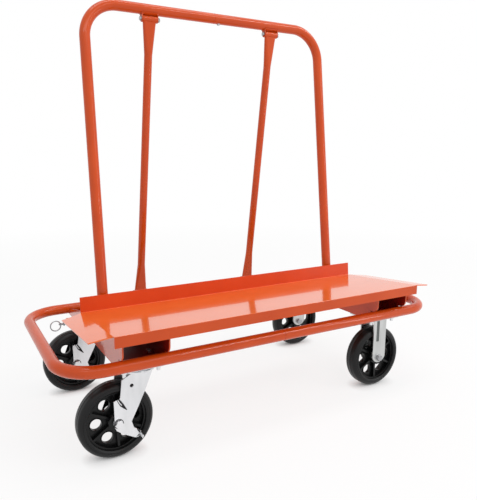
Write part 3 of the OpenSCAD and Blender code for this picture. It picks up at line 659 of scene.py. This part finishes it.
CAMERA_AT = (-0.8421, -1.39285, 0.7698)
CAMERA_LOOK = (0.4633, 0.8711, -0.1632)
FRAME_W = 477
FOCAL_PX = 511.95
SHIFT_PX = (30.5, -12.0)
SENSOR_W = 36.0
cam_data = bpy.data.cameras.new("camera")
cam = bpy.data.objects.new("camera", cam_data)
bpy.context.scene.collection.objects.link(cam)
cam.location = CAMERA_AT
cam.rotation_mode = "QUATERNION"
cam.rotation_quaternion = Vector(CAMERA_LOOK).to_track_quat("-Z", "Y")
cam_data.sensor_fit = "HORIZONTAL"
cam_data.sensor_width = SENSOR_W
cam_data.lens = FOCAL_PX / FRAME_W * SENSOR_W
cam_data.shift_x = SHIFT_PX[0] / FRAME_W
cam_data.shift_y = SHIFT_PX[1] / FRAME_W
bpy.context.scene.camera = cam


# Studio lamps

# Name, place, aim, size, watts
LAMPS = (("key", (-0.9, -2.6, 2.9), (0, 0, 0.4), (4.2, 0.5), 16),
         ("side", (3.3, -2.66, 4.2), (0.1, -0.3, 0.3), (4.6, 0.45), 84),
         ("edge", (2.8, -2.8, 1.3), (0.1, 0.1, 0.8), (0.3, 2.2), 12),
         ("top", (0.1, -0.3, 4.2), (0.1, -0.1, 0.3), (3.4, 0.9), 44))
for name, where, aim, size, watts in LAMPS:
    data = bpy.data.lights.new(name, "AREA")
    data.shape = "RECTANGLE"
    data.size, data.size_y = size
    data.energy = watts
    obj = bpy.data.objects.new(name, data)
    bpy.context.scene.collection.objects.link(obj)
    obj.location = where
    obj.rotation_euler = (Vector(aim) - Vector(where)).to_track_quat("-Z", "Y").to_euler()


# White room behind the cart

WHITE = (1.0, 1.0, 1.0, 1.0)
SKY_LIGHT = 0.6
ROOM_WHITE = 1.0


def joined(tree, operation, a, out_a, b, out_b):
    """Math node on two outputs."""
    both = tree.nodes.new("ShaderNodeMath")
    both.operation = operation
    link(tree, a, out_a, both, 0)
    link(tree, b, out_b, both, 1)
    return both


def mixed(tree, share, a, out_a, b, out_b, end):
    """Sends the first shader to the output where the share is 0, and the second where it is 1."""
    mix = tree.nodes.new("ShaderNodeMixShader")
    link(tree, share, "Value", mix, "Fac")
    link(tree, a, out_a, mix, 1)
    link(tree, b, out_b, mix, 2)
    link(tree, mix, "Shader", tree.nodes[end], "Surface")


def seen(tree):
    """1 for camera, mirror and see-through rays, 0 for the light that falls on surfaces."""
    path = tree.nodes.new("ShaderNodeLightPath")
    first = joined(tree, "MAXIMUM", path, "Is Camera Ray", path, "Is Glossy Ray")
    return joined(tree, "MAXIMUM", first, "Value", path, "Is Transmission Ray")


world = bpy.data.worlds.new("studio")
bpy.context.scene.world = world
world.use_nodes = True
tree = world.node_tree
sky = tree.nodes["Background"]
sky.inputs["Color"].default_value = WHITE
sky.inputs["Strength"].default_value = SKY_LIGHT
backdrop = tree.nodes.new("ShaderNodeBackground")
backdrop.inputs["Color"].default_value = WHITE
backdrop.inputs["Strength"].default_value = ROOM_WHITE
mixed(tree, seen(tree), sky, "Background", backdrop, "Background", "World Output")


# Floor that keeps the cart's shadow and fades into the room; close under the wheels an ambient-occlusion node
# paints extra shade over the real shadow

FLOOR_HALF = 14.0
FLOOR_DROP = 0.6 * MM
FLOOR_PAINT = (0.9, 0.9, 0.9, 1.0)
FLOOR_GLOW = 0.82
PAINTED_SHADE_REACH = 0.035
GLOW_NEAR, GLOW_FAR = 1.4, 4.0
floor_mesh = bpy.data.meshes.new("floor")
floor_mesh.from_pydata([(x * FLOOR_HALF, y * FLOOR_HALF, 0) for x, y in ((-1, -1), (1, -1), (1, 1), (-1, 1))],
                       [], [(0, 1, 2, 3)])
floor = bpy.data.objects.new("floor", floor_mesh)
bpy.context.scene.collection.objects.link(floor)
floor.location.z = -FLOOR_DROP
paint = bpy.data.materials.new("floor_paint")
paint.use_nodes = True
tree = paint.node_tree
matt = tree.nodes.new("ShaderNodeBsdfDiffuse")
matt.inputs["Color"].default_value = FLOOR_PAINT
glow = tree.nodes.new("ShaderNodeEmission")
glow.inputs["Strength"].default_value = ROOM_WHITE
place = tree.nodes.new("ShaderNodeTexCoord")
away = tree.nodes.new("ShaderNodeVectorMath")
away.operation = "LENGTH"
link(tree, place, "Object", away, 0)
fade = tree.nodes.new("ShaderNodeMapRange")
fade.inputs["From Min"].default_value = GLOW_NEAR
fade.inputs["From Max"].default_value = GLOW_FAR
fade.inputs["To Min"].default_value = FLOOR_GLOW
fade.inputs["To Max"].default_value = 1.0
link(tree, away, "Value", fade, "Value")
# Painted shade: ambient occlusion lowers the floor's glow close to the wheels, so the lit floor with its real
# shadow shows there
contact_painted_shade = tree.nodes.new("ShaderNodeAmbientOcclusion")
contact_painted_shade.inputs["Distance"].default_value = PAINTED_SHADE_REACH
share = joined(tree, "MULTIPLY", fade, "Result", seen(tree), "Value")
share = joined(tree, "MULTIPLY", share, "Value", contact_painted_shade, "AO")
mixed(tree, share, matt, "BSDF", glow, "Emission", "Material Output")
floor_mesh.materials.append(paint)

bpy.context.scene.view_settings.view_transform = "Standard"
